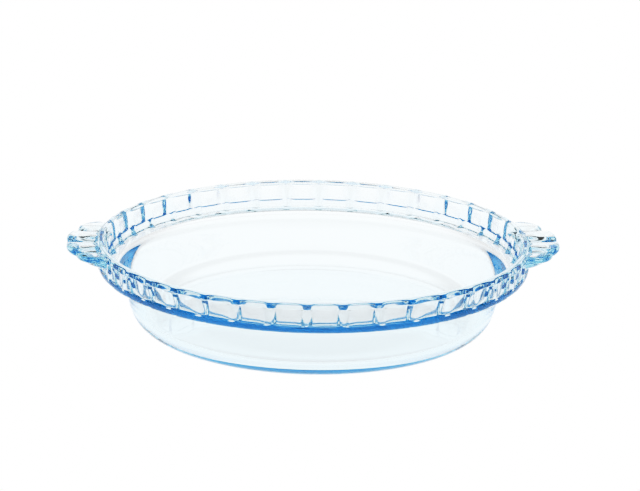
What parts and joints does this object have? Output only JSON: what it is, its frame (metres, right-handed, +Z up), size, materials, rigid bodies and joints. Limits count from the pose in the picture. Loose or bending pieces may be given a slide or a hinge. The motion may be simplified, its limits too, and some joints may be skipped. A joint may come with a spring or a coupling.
{
  "type": "pie dish",
  "caption": "Round clear glass pie dish with a leaning side, a stepped fluted collar, a rounded bead rim and a scalloped shell handle at each end.",
  "frame": {"origin": "on the dish's axis, at the level of the table it stands on", "axes": "+Z up along the dish's axis, X through the middle of both handles"},
  "size_m": [0.2646, 0.2334, 0.0478],
  "materials": {
    "clear_glass": "fire-polished clear glass with a faint blue tint where it is thick"
  },
  "bodies": {
    "root": {"pie_dish": "clear_glass"}
  },
  "joints": []
}
